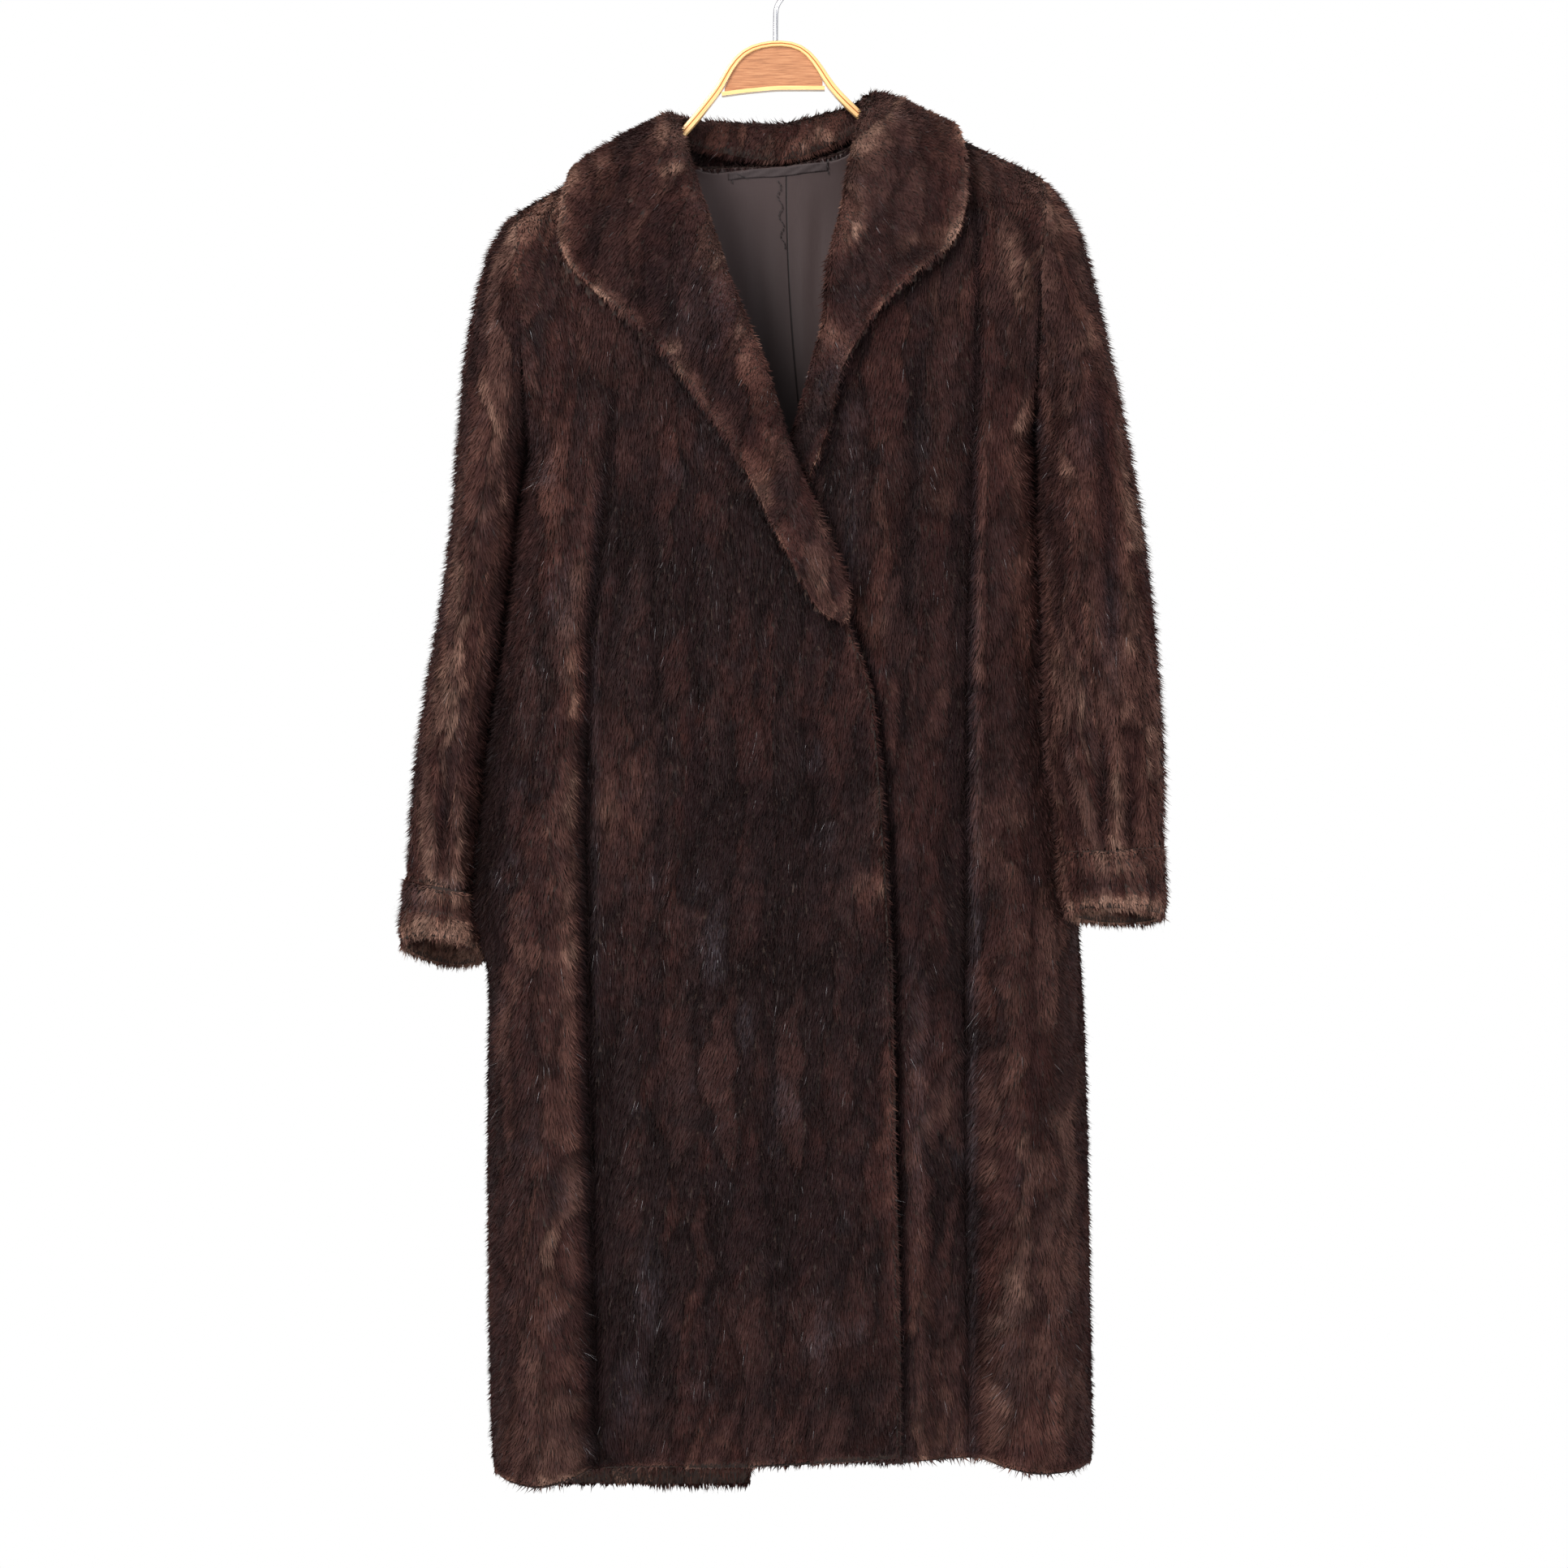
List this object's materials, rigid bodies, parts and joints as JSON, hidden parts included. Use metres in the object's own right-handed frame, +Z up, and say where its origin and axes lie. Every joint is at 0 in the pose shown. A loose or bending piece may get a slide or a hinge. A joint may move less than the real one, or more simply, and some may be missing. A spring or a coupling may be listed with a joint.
{
  "type": "fur coat on a hanger",
  "caption": "Long dark brown fur coat with a shawl collar and gathered cuffs, hung closed on a bent wood hanger with a wire hook.",
  "frame": {"origin": "inside of the top of the hanger's hook, where the rail would carry it", "axes": "+Z up, the coat's front faces -Y and its back, on the wall side, +Y; the wearer's right is at -X"},
  "size_m": [0.633, 0.1505, 1.2823],
  "materials": {
    "brown_mink": "dense glossy fur",
    "grey_satin": "satin lining",
    "pale_beech": "clear varnish",
    "brown_veneer": "clear varnish",
    "bright_steel": "polished wire"
  },
  "bodies": {
    "root": {"front_right": "brown_mink", "front_left": "brown_mink", "back_right": "brown_mink", "back_left": "brown_mink", "sleeve_right": "brown_mink", "sleeve_left": "brown_mink", "cuff_right": "brown_mink", "cuff_left": "brown_mink", "collar": "brown_mink", "lining_back": "grey_satin", "hanger_bow": "pale_beech", "hanger_rail": "pale_beech", "hanger_web": "brown_veneer", "hanger_hook": "bright_steel"}
  },
  "joints": []
}
